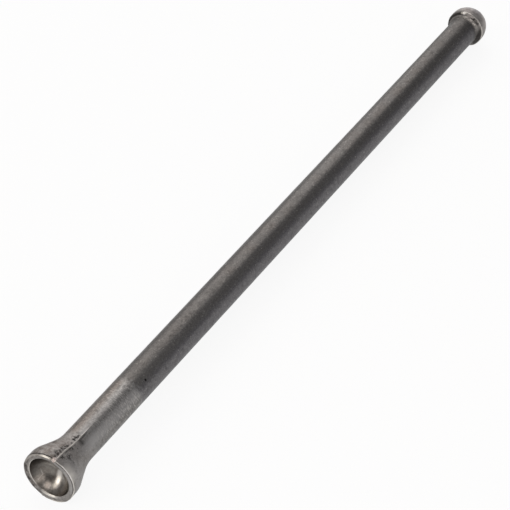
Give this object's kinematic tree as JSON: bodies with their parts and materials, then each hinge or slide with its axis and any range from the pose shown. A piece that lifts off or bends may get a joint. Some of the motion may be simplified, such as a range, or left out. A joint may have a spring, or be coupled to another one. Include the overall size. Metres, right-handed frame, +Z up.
{
  "type": "engine pushrod",
  "caption": "Solid forged steel pushrod with a flared cup for the rocker's adjusting screw at one end and a ball for the tappet at the other.",
  "frame": {"origin": "on the surface that the rod lies on, under the middle of its length", "axes": "+X along the rod from the cup to the ball, +Z up as it lies; the rod's axis runs parallel to X, half the cup's diameter above the surface"},
  "size_m": [0.2619, 0.016, 0.0161],
  "materials": {
    "forged_steel": "hot-forged dark grey oxide, rubbed bright on the rim and the trimmed edge of the ball"
  },
  "bodies": {
    "root": {"pushrod": "forged_steel"}
  },
  "joints": []
}
